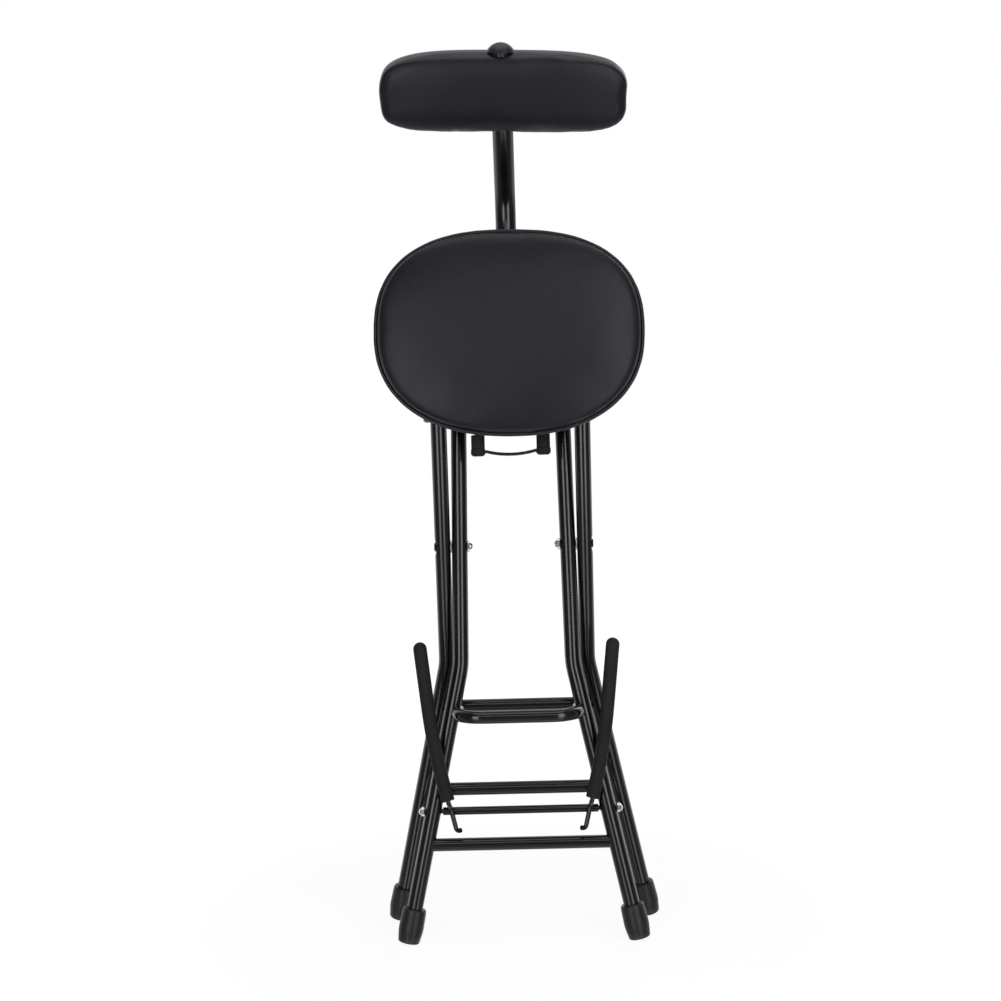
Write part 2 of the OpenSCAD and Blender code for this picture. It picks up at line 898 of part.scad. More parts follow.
// The sides of a yoke sleeve as [inset from its radius, height], from the closed tip and from the mouth
yoke_band_side = [[2.5, 0], [0, 2.5], [0, 8], [0.6, 8.8]];
yoke_mouth_side = [[0.6, -0.8], [1.4, 0]];
module neck_yoke() {
    prong = yoke_back_z - yoke_tip_z - yoke_bend_r - yoke_cap_wall;
    color("#1b1b1d")
        in_seat()
            translate([0, yoke_drop - bracket_h, yoke_back_z]) {
                translate([-yoke_w / 2, 0, -prong - yoke_bend_r])
                    run([[prong, 90, yoke_bend_r, 0],
                         [yoke_w - 2 * yoke_bend_r, 90, yoke_bend_r, 0],
                         [prong, 0, 0, 0]], yoke_r);
                translate([-yoke_plate_w / 2, -yoke_drop, -yoke_plate_h / 2])
                    cube([yoke_plate_w, yoke_plate_t, yoke_plate_h]);
            }
}
module yoke_sleeve() {
    in_seat()
        translate([yoke_w / 2, yoke_drop - bracket_h, yoke_tip_z])
            rotate_extrude()
                polygon(concat([[0, 0]],
                               [for (s = yoke_band_side) [yoke_sleeve_r - s[0], s[1]]],
                               [for (s = yoke_mouth_side) [yoke_sleeve_r - s[0], yoke_sleeve_len + s[1]]],
                               [[yoke_r, yoke_sleeve_len], [yoke_r, yoke_cap_wall], [0, yoke_cap_wall]]));
}
module yoke_left_sleeve() {
    color("#161617")
        on_left()
            yoke_sleeve();
}
module yoke_right_sleeve() {
    color("#161617")
        on_right()
            yoke_sleeve();
}
// The elastic strap hangs in a shallow arc between the sleeves
strap_sag = 4.5;
strap_z = 6;
module neck_strap() {
    half = yoke_w / 2 - yoke_sleeve_r + over;
    arc_r = (half * half + strap_sag * strap_sag) / (2 * strap_sag);
    arc = asin(half / arc_r);
    color("#161617")
        in_seat()
            translate([0, yoke_drop - bracket_h, yoke_tip_z])
                difference() {
                    translate([0, 0, strap_z - strap_sag + arc_r])
                        rotate([90, 0, 0])
                            rotate([0, 0, -90 - arc])
                                rotate_extrude(angle = 2 * arc)
                                    translate([arc_r, 0])
                                        circle(strap_d / 2);
                    both_sides()
                        translate([yoke_w / 2, 0, 0])
                            cylinder(h = yoke_sleeve_len, r = yoke_sleeve_r);
                }
}

// Cradle: a rod through the inner legs with two padded arms that fold forward
rod_r = rod_d / 2;
stud_r = stud_d / 2;
arm_r = arm_d / 2;
arm_sleeve_r = arm_sleeve_d / 2;
cradle_nut_af = 1.65 * stud_d;
cradle_nut_h = 0.5 * stud_d;
cradle_dome_h = 0.55 * stud_d;
cradle_nut_x = inner_x(rod_drop) + leg_r / cos(splay) + cradle_nut_af * 0.58 * tan(splay) + side_gap;
module cradle_rod() {
    rod_half = inner_x(rod_drop) - leg_r / cos(splay) - rod_r * tan(splay) - 1;
    stud_half = cradle_nut_x + cradle_nut_h;
    color("#1b1b1d")
        in_cradle() {
            along_x(-rod_half, rod_half, rod_r);
            along_x(-stud_half, stud_half, stud_r);
        }
}
module cradle_nuts() {
    color("#e4e4e6")
        in_cradle()
            both_sides()
                translate([cradle_nut_x, 0, 0])
                    mirror([1, 0, 0])
                        domed_nut(cradle_nut_af, cradle_nut_h, cradle_dome_h, stud_r);
}
// The arm's core passes in front of the rod, steps forward and then bows upright
step_angle = 60;
step_r = 6;
step_start = 2;
step_forward = arm_front - rod_r - arm_r;
step_run = (step_forward - 2 * step_r * (1 - cos(step_angle))) / sin(step_angle);
step_rise = 2 * step_r * sin(step_angle) + step_run * cos(step_angle);
bow_angle = arm_low_lean - arm_top_lean;
bow_r = 700;
arm_low_run = 30;
bow_chord = 2 * bow_r * sin(bow_angle / 2);
arm_low_height = (step_start + step_rise + arm_low_run) * cos(arm_low_lean);
bow_height = bow_chord * cos(arm_low_lean - bow_angle / 2);
arm_top_run = (arm_h - arm_sleeve_r - arm_low_height - bow_height) / cos(arm_top_lean);
hook_len = 3;
hook_bend_r = 4;
hook_heading = 40;
module at_arm_foot() {
    in_cradle()
        translate([arm_x, -rod_r - arm_r, 0])
            rotate([0, arm_low_lean, 0])
                children();
}
module at_arm_start() {
    at_arm_foot()
        translate([0, -step_forward, step_start + step_rise])
            children();
}
module arm_path(r) {
    run([[arm_low_run, bow_angle, bow_r, 180], [arm_top_run, 0, 0, 0]], r);
}
module cradle_arm() {
    at_arm_foot()
        translate([0, 0, -tail_len])
            rotate([0, 0, hook_heading])
                translate([-hook_len - hook_bend_r, 0, 0])
                    rotate([0, 90, 0])
                        run([[hook_len, 90, hook_bend_r, 180],
                             [tail_len + step_start - hook_bend_r, step_angle, step_r,
                              -90 - hook_heading],
                             [step_run, step_angle, step_r, 90 - hook_heading],
                             [arm_low_run, bow_angle, bow_r, 180 - hook_heading],
                             [arm_top_run, 0, 0, 0]], arm_r);
}
module cradle_left_arm() {
    color("#1b1b1d")
        on_left()
            cradle_arm();
}
module cradle_right_arm() {
    color("#1b1b1d")
        on_right()
            cradle_arm();
}
module cradle_sleeve() {
    at_arm_start()
        difference() {
            arm_path(arm_sleeve_r);
            arm_path(arm_r);
        }
}
module cradle_left_sleeve() {
    color("#161617")
        on_left()
            cradle_sleeve();
}
module cradle_right_sleeve() {
    color("#161617")
        on_right()
            cradle_sleeve();
}
module cradle_sleeve_tips() {
    color("#111112")
        both_sides()
            at_arm_start()
                translate([0, 0, arm_low_run])
                    translate([bow_r * (cos(bow_angle) - 1), 0, bow_r * sin(bow_angle)])
                        rotate([0, -bow_angle, 0])
                            translate([0, 0, arm_top_run])
                                intersection() {
                                    sphere(arm_sleeve_r);
                                    cylinder(h = arm_sleeve_r, r = arm_sleeve_r);
                                }
}

inner_left_leg();
inner_right_leg();
inner_top_bar();
inner_upper_crossbar();
inner_lower_crossbar();
footrest_bar();
inner_feet();
inner_bar_plugs();
pivot_bolts();
pivot_nuts();
pivot_washers();
post_socket();
post_bolt();
backrest_post();
post_cap();
back_sleeve();
back_plate();
back_pad();
outer_left_leg();
outer_right_leg();
outer_top_bar();
outer_crossbar();
outer_feet();
outer_bar_plugs();
seat_board();
seat_pad();
seat_piping();
seat_left_bracket();
seat_right_bracket();
seat_screws();
neck_yoke();
yoke_left_sleeve();
yoke_right_sleeve();
neck_strap();
cradle_rod();
cradle_nuts();
cradle_left_arm();
cradle_right_arm();
cradle_left_sleeve();
cradle_right_sleeve();
cradle_sleeve_tips();
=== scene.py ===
import json
import math

import bpy
import numpy as np
from mathutils import Matrix, Vector
from mathutils.kdtree import KDTree


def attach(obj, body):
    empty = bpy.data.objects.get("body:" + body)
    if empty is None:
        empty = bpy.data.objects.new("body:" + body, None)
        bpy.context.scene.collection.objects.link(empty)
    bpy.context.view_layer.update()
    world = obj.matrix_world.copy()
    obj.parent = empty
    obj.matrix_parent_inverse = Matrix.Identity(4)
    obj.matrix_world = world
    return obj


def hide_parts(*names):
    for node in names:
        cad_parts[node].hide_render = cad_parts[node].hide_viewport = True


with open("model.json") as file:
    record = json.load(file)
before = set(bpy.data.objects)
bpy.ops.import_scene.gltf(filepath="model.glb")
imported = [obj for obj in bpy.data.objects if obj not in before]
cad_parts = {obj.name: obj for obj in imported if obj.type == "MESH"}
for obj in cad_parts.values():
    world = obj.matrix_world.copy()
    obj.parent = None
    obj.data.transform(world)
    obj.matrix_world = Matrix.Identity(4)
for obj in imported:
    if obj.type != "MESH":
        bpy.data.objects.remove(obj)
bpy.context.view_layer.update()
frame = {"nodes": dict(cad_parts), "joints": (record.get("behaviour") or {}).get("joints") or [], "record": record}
scene = bpy.context.scene

# ---------------------------------------------------------------- sizes
# Shared with the part's source: lengths in millimetres, angles in radians
MM = 0.001
FOLD_LEAN = math.radians(5.7)
USE_LEAN = math.radians(26)
SEAT_LEAN = math.radians(4)
TOP_LEN = 168
SEAT_W, SEAT_D, SEAT_POWERS, SEAT_FRONT = 329, 252, (2.5, 2.3), 34
BRACKET_H, BOARD_T, SEAT_PAD_T = 22, 12, 34
PIPING_D, PIPE_H = 5, 13
POST_BASE, POST_RISE, POST_TOP = 93, 243.5, 207
POST_BEND_LOW, POST_BEND_HIGH = math.radians(64.7), math.radians(35)
BACK_W, BACK_H, BACK_T, BACK_DROP, BACK_POWERS = 316, 103, 50, 1, (3.4, 4.4)
YOKE_W, YOKE_REACH, YOKE_SLEEVE_D, SIDE_GAP = 80.5, 21, 18, 0.3
STRAP_D, STRAP_SAG, STRAP_Z, STRAP_OVER = 4, 4.5, 6, 1

# What the photo shows of the cushions and the CAD leaves out: how they sit askew, and their swell
SEAT_TURN, SEAT_SHIFT, SEAT_RISE = math.radians(-1.4), 2, 2.5
BACK_TURN, BACK_SHIFT, BACK_RISE = math.radians(-2.2), 2, 2.5

# Upholstery, its lengths in millimetres
EVEN = 12             # inset up to which a pad's rings keep their distance from the rim
UNEVEN = 0.25         # slow unevenness of a pad's front
PRESSURE = 4.0        # of the cloth simulation
SWELL_FRAMES = 20
EVENING_ROUNDS = 24
SEAT_FOLDS, BACK_FOLDS = 0.15, 0.5    # share of the simulated small folds that stays
BACK_SLACK = 0.004
# Gathers start this far below their seam, are full this far above that, and deepest at this inset
SEAM_START, SEAM_FADE, GATHER_INSET = 2, 4, 5
# The back pad's lower edge rises over the post, and its ends are folded from a share of its width
NOTCH_DEPTH, NOTCH_R, NOTCH_BELOW = 1.6, 20, -30
END_FOLD, END_FROM = 0.5, 0.72

# Studio, its lengths in metres
ROOM_LIGHT, ROOM_GLOSS = 0.16, 0.16   # the room's strength for diffuse rays, and for glossy ones
WHITE = (1, 1, 1, 1)
FLOOR_HALF = 12.0
CAMERA_PLACE = (0.0226, -1.8587, 0.6232)
CAMERA_YAW, CAMERA_PITCH, CAMERA_ROLL = (math.radians(a) for a in (1.18, -2.44, -1.6))
CAMERA_LENS, SENSOR_WIDTH = 52.37, 36    # these two in millimetres


# ---------------------------------------------------------------- frames of the folded model
def turn_x(angle):
    return Matrix.Rotation(angle, 4, "X")


def move(x, y, z):
    return Matrix.Translation((x * MM, y * MM, z * MM))


PIVOT = Vector(next(j for j in frame["joints"] if j["name"] == "leg_fold")["pos_m"])
AT_PIVOT = Matrix.Translation(PIVOT)
IN_INNER = AT_PIVOT @ turn_x(-FOLD_LEAN)
IN_OUTER = AT_PIVOT @ turn_x(FOLD_LEAN)
IN_SEAT = IN_OUTER @ move(0, 0, TOP_LEN) @ turn_x(-FOLD_LEAN - SEAT_LEAN)
AT_POST_END = (IN_INNER @ move(0, 0, TOP_LEN) @ turn_x(USE_LEAN - math.pi / 2)
               @ move(0, 0, POST_BASE) @ turn_x(POST_BEND_LOW) @ move(0, 0, POST_RISE)
               @ turn_x(POST_BEND_HIGH) @ move(0, 0, POST_TOP))


# ---------------------------------------------------------------- shader nodes
def empty_tree(owner):
    """The node tree of a material or world, without its default nodes."""
    owner.use_nodes = True
    owner.node_tree.nodes.clear()
    return owner.node_tree


def node(nt, kind, inputs=None, **props):
    """A node with its properties, each input linked to a socket or set to a value."""
    n = nt.nodes.new(kind)
    for k, v in props.items():
        setattr(n, k, v)
    for k, v in (inputs or {}).items():
        if isinstance(v, bpy.types.NodeSocket):
            nt.links.new(v, n.inputs[k])
        else:
            n.inputs[k].default_value = v
    return n


def result(nt, kind, inputs=None, **props):
    return node(nt, kind, inputs, **props).outputs[0]


def coords(nt, scale=(1, 1, 1)):
    place = node(nt, "ShaderNodeTexCoord").outputs["Object"]
    return result(nt, "ShaderNodeMapping", {0: place, "Scale": scale})


def noise(nt, place, scale, detail=3, rough=0.5):
    return result(nt, "ShaderNodeTexNoise",
                  {"Vector": place, "Scale": scale, "Detail": detail, "Roughness": rough})


def ramp(nt, value, low, high, start=0.3, end=0.7):
    """Turns value, from start to end, into a grey or colour from low to high."""
    r = node(nt, "ShaderNodeValToRGB", {0: value})
    for element, position, tone in zip(r.color_ramp.elements, (start, end), (low, high)):
        element.position = position
        element.color = (*tone, 1) if isinstance(tone, tuple) else (tone, tone, tone, 1)
    return r.outputs[0]


def bump(nt, height, strength, distance, under=None):
    inputs = {"Height": height, "Strength": strength, "Distance": distance}
    if under is not None:
        inputs["Normal"] = under
    return result(nt, "ShaderNodeBump", inputs)


def shade(base, k):
    return tuple(c * k for c in base)


def coated(name, make_inputs):
    """A material whose Principled shader gets what make_inputs builds in its node tree."""
    m = bpy.data.materials.new(name)
    nt = empty_tree(m)
    shader = result(nt, "ShaderNodeBsdfPrincipled", make_inputs(nt))
    node(nt, "ShaderNodeOutputMaterial", {0: shader})
    return m


# ---------------------------------------------------------------- materials
def paint_material(name):
    """Glossy black powder coat with a faint orange peel and a few dust-dull patches."""
    def inputs(nt):
        place = coords(nt)
        peel = noise(nt, place, 900, 2)
        patch = noise(nt, place, 14, 4)
        return {
            "Base Color": ramp(nt, patch, (0.0028, 0.0028, 0.0031), (0.0042, 0.0041, 0.0044),
                               end=0.75),
            "Roughness": ramp(nt, patch, 0.15, 0.2, end=0.75),
            "Specular IOR Level": 0.5,
            "Specular Tint": (0.97, 0.965, 1.0, 1),
            "Normal": bump(nt, peel, 0.02, 0.0003),
        }
    return coated(name, inputs)


def vinyl_material(name, base, rough, gloss, grain=1.0):
    """Black vinyl with a fine pebble grain: small cells, with painted shade darkening the creases between them."""
    def inputs(nt):
        place = coords(nt)
        wander = node(nt, "ShaderNodeTexNoise", {"Vector": place, "Scale": 260}).outputs["Color"]
        shift = result(nt, "ShaderNodeVectorMath", {0: wander, "Scale": 0.0012}, operation="SCALE")
        warped = result(nt, "ShaderNodeVectorMath", {0: place, 1: shift}, operation="ADD")
        cells = node(nt, "ShaderNodeTexVoronoi", {"Vector": warped, "Scale": 620},
                     feature="DISTANCE_TO_EDGE")
        # The crease mask is both the pebbles' bump height and painted shade in the creases
        crease_depth_and_shade = ramp(nt, cells.outputs["Distance"], 0.0, 1.0, start=0.0, end=0.22)
        broad = noise(nt, place, 9, 4)
        # Multiplying the creases into the base colour darkens them: painted shade between the pebbles
        tone = node(nt, "ShaderNodeMix", {
            "Factor": 0.35, "A": ramp(nt, broad, shade(base, 0.86), shade(base, 1.14)), "B": crease_depth_and_shade,
        }, data_type="RGBA", blend_type="MULTIPLY")
        pebbles = bump(nt, crease_depth_and_shade, 0.16 * grain, 0.00012)
        return {
            "Base Color": tone.outputs["Result"],
            "Roughness": ramp(nt, broad, rough - 0.03, rough + 0.04),
            "Specular IOR Level": gloss,
            "Specular Tint": (0.93, 0.91, 1.0, 1),
            "Normal": bump(nt, noise(nt, place, 38, 3), 0.05, 0.0012, pebbles),
        }
    return coated(name, inputs)


def dusty(nt, place, tone):
    """The tone with pale dust over its lowest centimetre, with an uneven edge."""
    height = node(nt, "ShaderNodeSeparateXYZ", {0: place}).outputs["Z"]
    edge = result(nt, "ShaderNodeMath", {0: noise(nt, place, 260, 5, 0.7), 1: -0.012, 2: height},
                  operation="MULTIPLY_ADD")
    return node(nt, "ShaderNodeMix", {
        "Factor": ramp(nt, edge, 0.55, 0.0, start=0.0, end=0.004),
        "A": tone, "B": (0.05, 0.048, 0.044, 1),
    }, data_type="RGBA", blend_type="MIX").outputs["Result"]


def rubber_material(name, base, rough, gloss, scale=520, scuffed=False):
    """Matt rubber, foam or plastic with a fine grain; a scuffed one is dusty near the floor."""
    def inputs(nt):
        place = coords(nt)
        grain = noise(nt, place, scale, 4, 0.6)
        broad = noise(nt, place, 22, 4)
        tone = ramp(nt, broad, shade(base, 0.8), shade(base, 1.25), end=0.72)
        return {
            "Base Color": dusty(nt, place, tone) if scuffed else tone,
            "Roughness": ramp(nt, grain, rough - 0.06, rough + 0.06),
            "Specular IOR Level": gloss,
            "Normal": bump(nt, grain, 0.18, 0.00025),
        }
    return coated(name, inputs)


def metal_material(name, base, rough, scratch=0.1):
    """Plated or bare metal with fine drawn lines and cloudy tone."""
    def inputs(nt):
        lines = noise(nt, coords(nt, (1, 1, 0.15)), 700, 3)
        broad = noise(nt, coords(nt), 60, 3)
        return {
            "Base Color": ramp(nt, broad, shade(base, 0.85), base),
            "Metallic": 1.0,
            "Roughness": ramp(nt, lines, rough, rough + 0.08),
            "Normal": bump(nt, lines, scratch, 0.0001),
        }
    return coated(name, inputs)


def cloth_material(name, base):
    """Thin black lining cloth stapled under the seat board: a fine crossed weave."""
    def inputs(nt):
        place = coords(nt)
        threads = [node(nt, "ShaderNodeTexWave", {"Vector": place, "Scale": 380},
                        bands_direction=axis).outputs["Fac"] for axis in ("X", "Z")]
        weave = result(nt, "ShaderNodeMath", {0: threads[0], 1: threads[1]}, operation="MULTIPLY")
        return {
            "Base Color": ramp(nt, weave, shade(base, 0.6), base, start=0.0, end=0.6),
            "Roughness": 0.92,
            "Normal": bump(nt, weave, 0.3, 0.0003),
        }
    return coated(name, inputs)


MATERIALS = {
    "black_paint": paint_material("black_powder_coat"),
    "foot_rubber": rubber_material("foot_rubber", (0.0095, 0.0095, 0.01), 0.42, 0.34,
                                   scuffed=True),
    "black_plastic": rubber_material("black_plastic", (0.012, 0.012, 0.0125), 0.36, 0.3, 300),
    "zinc": metal_material("zinc_plating", (0.6, 0.61, 0.63), 0.3),
    "chrome": metal_material("chrome_plating", (0.78, 0.78, 0.8), 0.12, 0.03),
    "bare_steel": metal_material("bare_steel", (0.3, 0.3, 0.31), 0.4),
    "vinyl": vinyl_material("black_vinyl", (0.0108, 0.0103, 0.0148), 0.4, 0.24),
    "piping_vinyl": vinyl_material("piping_vinyl", (0.013, 0.013, 0.015), 0.4, 0.3, 0.4),
    "plywood": cloth_material("lining_cloth", (0.02, 0.02, 0.021)),
    "sleeve_rubber": rubber_material("foam_sleeve", (0.0145, 0.0145, 0.0148), 0.66, 0.12, 800),
    "strap_elastic": rubber_material("elastic_cord", (0.012, 0.012, 0.0125), 0.6, 0.2, 900),
}
slot_of = {s["node"]: s["material_slot"] for s in frame["record"]["subparts"]}
for name, obj in frame["nodes"].items():
    if not obj.material_slots:
        obj.data.materials.append(MATERIALS[slot_of[name]])
    for s in obj.material_slots:
        s.material = MATERIALS[slot_of[name]]


# ---------------------------------------------------------------- outlines and profiles
def oval_point(a, w, d, powers):
    """A point of a squared oval, with its own power above and below the middle."""
    c, s = math.cos(a), math.sin(a)
    q = 2 / (powers[0] if s > 0 else powers[1])
    return (w / 2 * math.copysign(abs(c) ** q, c), d / 2 * math.copysign(abs(s) ** q, s))


def along(points, count):
    """count points evenly spaced along an open line, both ends included."""
    run = [0.0]
    for a, b in zip(points, points[1:]):
        run.append(run[-1] + math.dist(a, b))
    res, j = [], 0
    for k in range(count):
        want = run[-1] * k / (count - 1)
        while j < len(run) - 2 and run[j + 1] < want:
            j += 1
        f = (want - run[j]) / (run[j + 1] - run[j])
        res.append(tuple(p + (q - p) * f for p, q in zip(points[j], points[j + 1])))
    return res


def rim_table(w, d, powers, steps=240, fine=600):
    """The rim of a squared oval in four sides that meet at its corners, each evenly divided."""
    table = []
    for side in range(4):
        arc = [oval_point(math.pi / 2 * (side - 0.5 + i / fine), w, d, powers)
               for i in range(fine + 1)]
        table += along(arc, steps + 1)[:-1]
    return table


def outward(before, after):
    """The outward direction of a rim between two of its points."""
    t = (after[0] - before[0], after[1] - before[1])
    ln = math.hypot(*t)
    return t[1] / ln, -t[0] / ln


def at_angle(table, angle):
    """Rim point and outward direction at an angle; the table starts an eighth turn before 0."""
    n = len(table)
    x = (angle / (2 * math.pi) + 0.125) % 1 * n
    i, f = int(x) % n, x % 1
    p, q = table[i], table[(i + 1) % n]
    return ((p[0] + (q[0] - p[0]) * f, p[1] + (q[1] - p[1]) * f),
            outward(table[i - 3], table[(i + 4) % n]))


def profile_at(profile, f):
    """Catmull-Rom through evenly weighted (inset, height) points, f from 0 to 1."""
    x = min(max(f, 0), 1) * (len(profile) - 1)
    i = min(int(x), len(profile) - 2)
    t = x - i
    p1, p2 = profile[i], profile[i + 1]
    p0 = profile[i - 1] if i else tuple(2 * a - b for a, b in zip(p1, p2))
    p3 = profile[i + 2] if i + 2 < len(profile) else tuple(2 * b - a for a, b in zip(p1, p2))
    return tuple(0.5 * (2 * b + (c - a) * t + (2 * a - 5 * b + 4 * c - d) * t * t
                        + (3 * b - a - 3 * c + d) * t ** 3) for a, b, c, d in zip(p0, p1, p2, p3))


def wrinkle(x, y, seed):
    """A slow, seeded unevenness of upholstery, from -1 to 1."""
    return (math.sin(x * 0.043 + seed) * math.sin(y * 0.057 - seed * 1.7)
            + 0.5 * math.sin(x * 0.091 - y * 0.073 + seed * 2.3)) / 1.5


# ---------------------------------------------------------------- meshes
def pad_mesh(w, d, powers, front, back, nx, ny, seed):
    """A closed pad: a front and a back grid of squares that share the rim."""
    table = rim_table(w, d, powers)
    verts, faces, index = [], [], {}

    def vertex(i, j, side):
        edge = i in (0, nx) or j in (0, ny)
        key = (i, j, "rim" if edge else side)
        if key not in index:
            u, v = 2 * i / nx - 1, 2 * j / ny - 1
            x, y = u * math.sqrt(1 - v * v / 2), v * math.sqrt(1 - u * u / 2)
            (rx, ry), (ox, oy) = at_angle(table, math.atan2(y, x))
            inset, h = profile_at(front if side else back, 1 - math.hypot(x, y))
            k = max(0.0, 1 - max(0, inset - EVEN) / (min(w, d) / 2 - EVEN))
            near = min(inset, EVEN)
            px, py = (rx - ox * near) * k, (ry - oy * near) * k
            if side:
                h += UNEVEN * wrinkle(px, py, seed) * min(1, max(0, inset / 10 - 0.4))
            index[key] = len(verts)
            verts.append((px, py, h))
        return index[key]

    for side in (0, 1):
        for i in range(nx):
            for j in range(ny):
                q = [vertex(i, j, side), vertex(i + 1, j, side),
                     vertex(i + 1, j + 1, side), vertex(i, j + 1, side)]
                faces.append(tuple(q if side else reversed(q)))
    return verts, faces


def build_mesh(name, verts, faces, unit=MM):
    me = bpy.data.meshes.new(name)
    me.from_pydata([(x * unit, y * unit, z * unit) for x, y, z in verts], [], faces)
    me.update()
    return me


def baked(ob):
    """The mesh of an object with its modifiers applied."""
    dg = bpy.context.evaluated_depsgraph_get()
    return bpy.data.meshes.new_from_object(ob.evaluated_get(dg), depsgraph=dg)


def finished(me, mat, name, body, matrix):
    """Puts a mesh made in its own frame in its place, with its finish and its body."""
    me.transform(matrix)
    me.polygons.foreach_set("use_smooth", [True] * len(me.polygons))
    me.materials.append(MATERIALS[mat])
    ob = bpy.data.objects.new(name, me)
    scene.collection.objects.link(ob)
    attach(ob, body)
    return ob


def facing_front(back_y, up, shift, turn):
    """Stands (x, y, height) so that height points to the front and y points up."""
    return move(shift, back_y, up) @ turn_x(math.pi / 2) @ Matrix.Rotation(turn, 4, "Z")


# ---------------------------------------------------------------- upholstery
def evened(mesh, moves, rounds):
    """Moves averaged over their neighbours in the mesh, which takes the small folds out."""
    ends = np.array([e.vertices[:] for e in mesh.edges])
    count = np.bincount(ends.ravel(), minlength=len(moves))[:, None]
    for _ in range(rounds):
        total = np.zeros_like(moves)
        np.add.at(total, ends[:, 0], moves[ends[:, 1]])
        np.add.at(total, ends[:, 1], moves[ends[:, 0]])
        moves = total / count
    return moves


def cloth_moves(ob, verts, held_below, slack):
    """How far pressure moves each vertex of a pad as cloth; those below a height are held."""
    group = ob.vertex_groups.new(name="held")
    for i, (x, y, h) in enumerate(verts):
        group.add([i], 1.0 if h < held_below else 0.0, "REPLACE")
    cloth = ob.modifiers.new("cloth", "CLOTH")
    cs = cloth.settings
    cs.quality = 6
    cs.mass = 0.25
    cs.tension_stiffness = cs.compression_stiffness = 12
    cs.bending_stiffness = 0.6
    cs.use_pressure = True
    cs.uniform_pressure_force = PRESSURE
    cs.shrink_min = cs.shrink_max = -slack
    cs.vertex_group_mass = "held"
    cs.effector_weights.gravity = 0
    cloth.point_cache.frame_start, cloth.point_cache.frame_end = 1, SWELL_FRAMES
    for frame_no in range(1, SWELL_FRAMES + 1):
        scene.frame_set(frame_no)
    swollen = baked(ob)
    ob.modifiers.clear()
    return np.array([v1.co - v0.co for v0, v1 in zip(ob.data.vertices, swollen.vertices)])


def upholstered(name, verts, faces, held_below, cap, slack, folds):
    """Swells a pad as cloth, by cap mm at most, and keeps that share of its small folds."""
    start = build_mesh(name, verts, faces)
    ob = bpy.data.objects.new(name + "_cloth", start)
    scene.collection.objects.link(ob)
    moves = cloth_moves(ob, verts, held_below, slack)
    size = np.linalg.norm(moves, axis=1)[:, None]
    moves *= np.minimum(1, cap * MM / np.maximum(size, 1e-9))
    broad = evened(start, moves, EVENING_ROUNDS)
    for v, d in zip(start.vertices, broad + (moves - broad) * folds):
        v.co += Vector(d)
    scene.frame_set(1)
    sub = ob.modifiers.new("sub", "SUBSURF")
    sub.levels = sub.render_levels = 1
    me = baked(ob)
    bpy.data.objects.remove(ob)
    me.name = name
    return me


def pucker(me, w, d, powers, seam, reach, depth, spacing):
    """Short gathers that run from a seam round the rim towards the middle and fade out."""
    table = rim_table(w, d, powers)
    n = len(table)
    run = [0.0]
    for i in range(n):
        run.append(run[-1] + math.dist(table[i], table[(i + 1) % n]))
    count = round(run[-1] / spacing)
    tree = KDTree(n)
    for i, (x, y) in enumerate(table):
        tree.insert((x * MM, y * MM, 0), i)
    tree.balance()
    for v in me.vertices:
        h = v.co.z / MM
        if seam - SEAM_START < h:
            _, i, far = tree.find((v.co.x, v.co.y, 0))
            k = (math.exp(-((far / MM - GATHER_INSET) / reach) ** 2)
                 * min(1, (h - seam + SEAM_START) / SEAM_FADE))
            a = 2 * math.pi * count * run[i] / run[-1]
            wave = math.sin(a + 1.9 * math.sin(a / 7.3)) * (0.6 + 0.4 * math.sin(a / 5.1 + 1))
            v.co += v.normal * wave * k * depth * MM


# ---------------------------------------------------------------- seat cushion and its welt
SEAT_FRAME = IN_SEAT @ facing_front(-BRACKET_H - BOARD_T, SEAT_D / 2 - SEAT_FRONT,
                                    SEAT_SHIFT, SEAT_TURN)


def make_seat_cushion():
    """The seat's pad, drawn in where the welt lies and crowned in front."""
    top = SEAT_PAD_T - SEAT_RISE
    front = [
        (6.2, 0), (4.4, 1.6), (3.7, 5.5), (4.2, 9.4), (5.7, 11.8), (5.9, 14.2), (4.9, 17.0),
        (5.3, top - 10.4), (8.2, top - 6.4), (14, top - 3.8), (23, top - 2.3), (35, top - 1.3),
        (50, top - 0.6), (68, top - 0.2), (87, top), (106, top), (126, top),
    ]
    back = [(6.2, 0), (20, 0.2), (60, 0.2), (126, 0.2)]
    verts, faces = pad_mesh(SEAT_W, SEAT_D, SEAT_POWERS, front, back, nx=68, ny=60, seed=1.3)
    mesh = upholstered("seat_cushion", verts, faces, held_below=PIPE_H + 4, cap=2 * SEAT_RISE,
                       slack=0.0, folds=SEAT_FOLDS)
    pucker(mesh, SEAT_W, SEAT_D, SEAT_POWERS, seam=PIPE_H, reach=6, depth=0.22, spacing=9)
    pad = finished(mesh, "vinyl", "seat_cushion", "seat", SEAT_FRAME)
    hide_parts("seat_pad")


def cord_ring(w, d, powers, r, n, sides, height):
    """A welt: a round cord that follows the rim, with a faint unevenness along it."""
    table = rim_table(w, d, powers, n // 4)
    verts, faces = [], []
    n = len(table)
    for i, (x, y) in enumerate(table):
        ox, oy = outward(table[i - 1], table[(i + 1) % n])
        rr = r * (1 + 0.03 * math.sin(i * 0.9 + 2 * math.sin(i * 0.13)))
        for j in range(sides):
            a = 2 * math.pi * j / sides
            verts.append((x + ox * rr * math.cos(a), y + oy * rr * math.cos(a),
                          height + rr * math.sin(a)))
    for i in range(n):
        for j in range(sides):
            a, b = i * sides + j, i * sides + (j + 1) % sides
            c, e = ((i + 1) % n) * sides + j, ((i + 1) % n) * sides + (j + 1) % sides
            faces.append((a, c, e, b))
    return verts, faces


def make_seat_piping():
    verts, faces = cord_ring(SEAT_W - PIPING_D, SEAT_D - PIPING_D, SEAT_POWERS, PIPING_D / 2,
                             n=240, sides=14, height=PIPE_H)
    piping = finished(build_mesh("seat_piping_cord", verts, faces), "piping_vinyl",
                      "seat_piping_cord", "seat", SEAT_FRAME)
    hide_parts("seat_piping")


